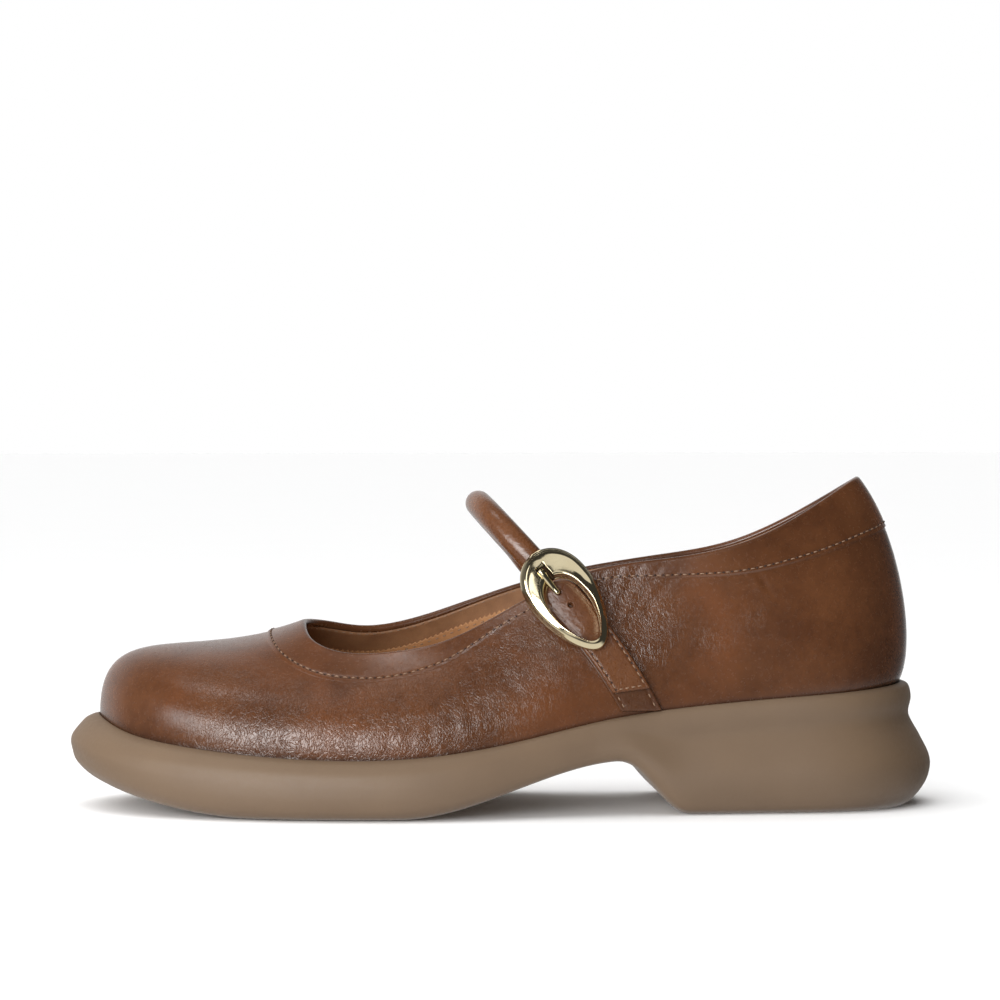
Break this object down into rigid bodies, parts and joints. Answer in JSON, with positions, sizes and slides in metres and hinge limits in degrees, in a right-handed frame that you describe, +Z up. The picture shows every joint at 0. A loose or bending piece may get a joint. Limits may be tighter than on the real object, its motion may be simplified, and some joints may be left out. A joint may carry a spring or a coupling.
{
  "type": "mary jane shoe",
  "caption": "Low-heeled leather mary jane with a rounded toe, a thin round instep strap, a dished oval buckle and a thick moulded sole.",
  "frame": {"origin": "middle of the shoe's length and width, on the floor it stands on", "axes": "+X from the toe to the heel, -Y to the outer side of the left foot, +Z up"},
  "size_m": [0.27, 0.1006, 0.1021],
  "materials": {
    "leather": "semi-gloss brown leather with a fine pebbled grain",
    "lining": "matt tan lining leather",
    "sole_rubber": "matt taupe moulded rubber",
    "gold": "polished pale gold plate"
  },
  "bodies": {
    "root": {"sole": "sole_rubber", "upper": "leather", "insole": "lining", "strap": "leather", "strap_anchor": "leather", "tab_base": "leather", "strap_tab": "leather", "buckle_frame": "gold", "buckle_prong": "gold"}
  },
  "joints": []
}
